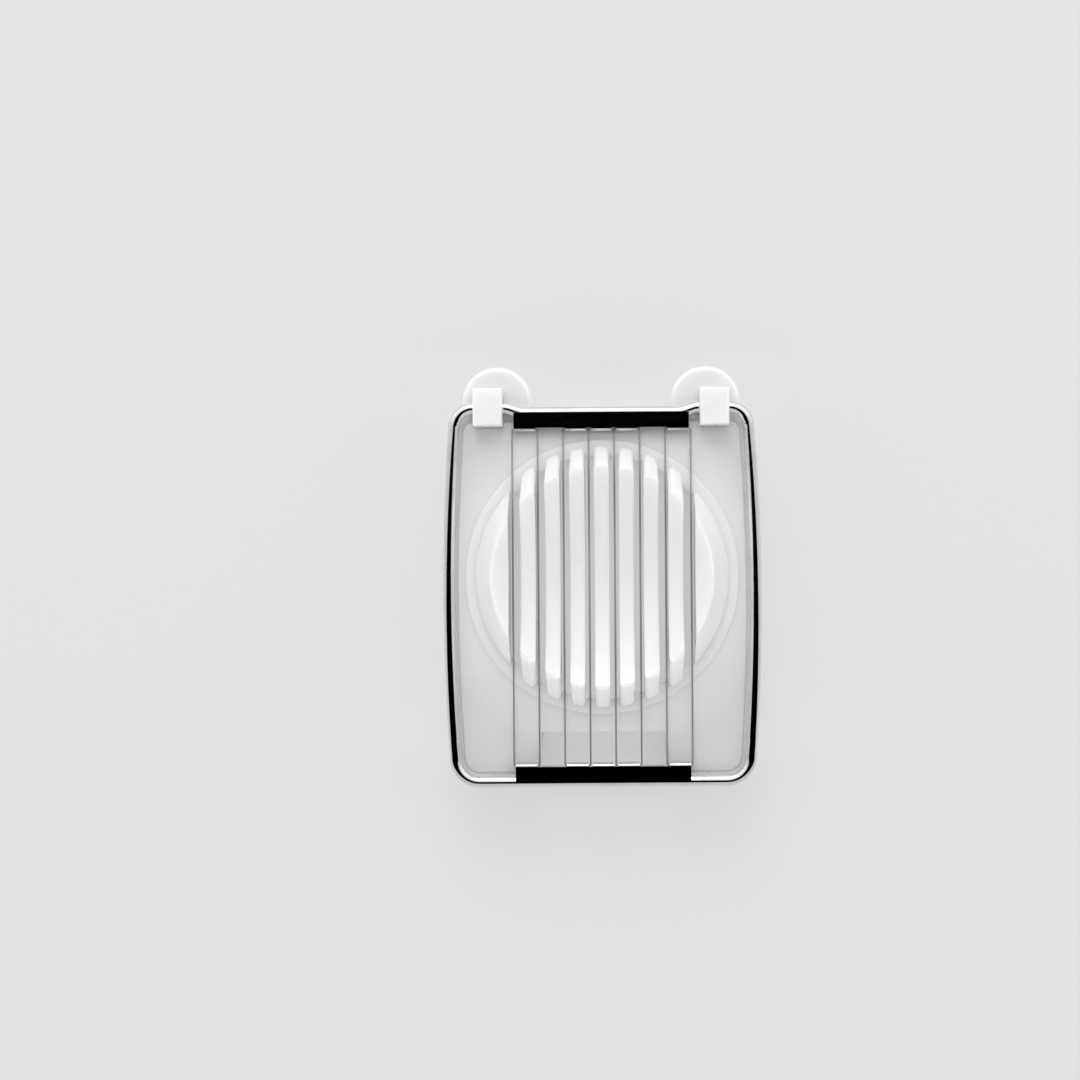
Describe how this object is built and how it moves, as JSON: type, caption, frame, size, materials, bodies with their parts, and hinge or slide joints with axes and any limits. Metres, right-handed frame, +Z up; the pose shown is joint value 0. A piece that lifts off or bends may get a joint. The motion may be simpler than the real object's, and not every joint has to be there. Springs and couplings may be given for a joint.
{
  "type": "egg cutter",
  "caption": "Egg cutter with a white moulded slotted bowl on a tray and a hinged chrome hoop strung with cutting wires that swing down between the slats",
  "frame": {"origin": "on the table under the middle of the closed cutter's outline", "axes": "+X right, +Y to the hinge at the rear, +Z up; the closed frame lies parallel to the table"},
  "size_m": [0.0824, 0.1094, 0.0275],
  "materials": {
    "white_plastic": "satin gloss moulded white",
    "clip_plastic": "gloss moulded white",
    "chrome_rod": "bright chrome plate",
    "chrome_strip": "mirror chrome plate",
    "steel_wire": "drawn stainless"
  },
  "bodies": {
    "base": {"base": "white_plastic", "hinge_clip_left": "clip_plastic", "hinge_clip_right": "clip_plastic"},
    "wire_frame": {"frame_hoop": "chrome_rod", "rear_comb": "chrome_strip", "front_comb": "chrome_strip", "wire_loop_1": "steel_wire", "wire_loop_2": "steel_wire", "wire_loop_3": "steel_wire", "wire_loop_4": "steel_wire"}
  },
  "joints": [
    {"name": "frame_hinge", "type": "hinge", "parent": "base", "child": "wire_frame", "pos_m": [0, 0.0434, 0.018], "axis": [-1, 0, 0], "range_deg": [0, 170]}
  ]
}
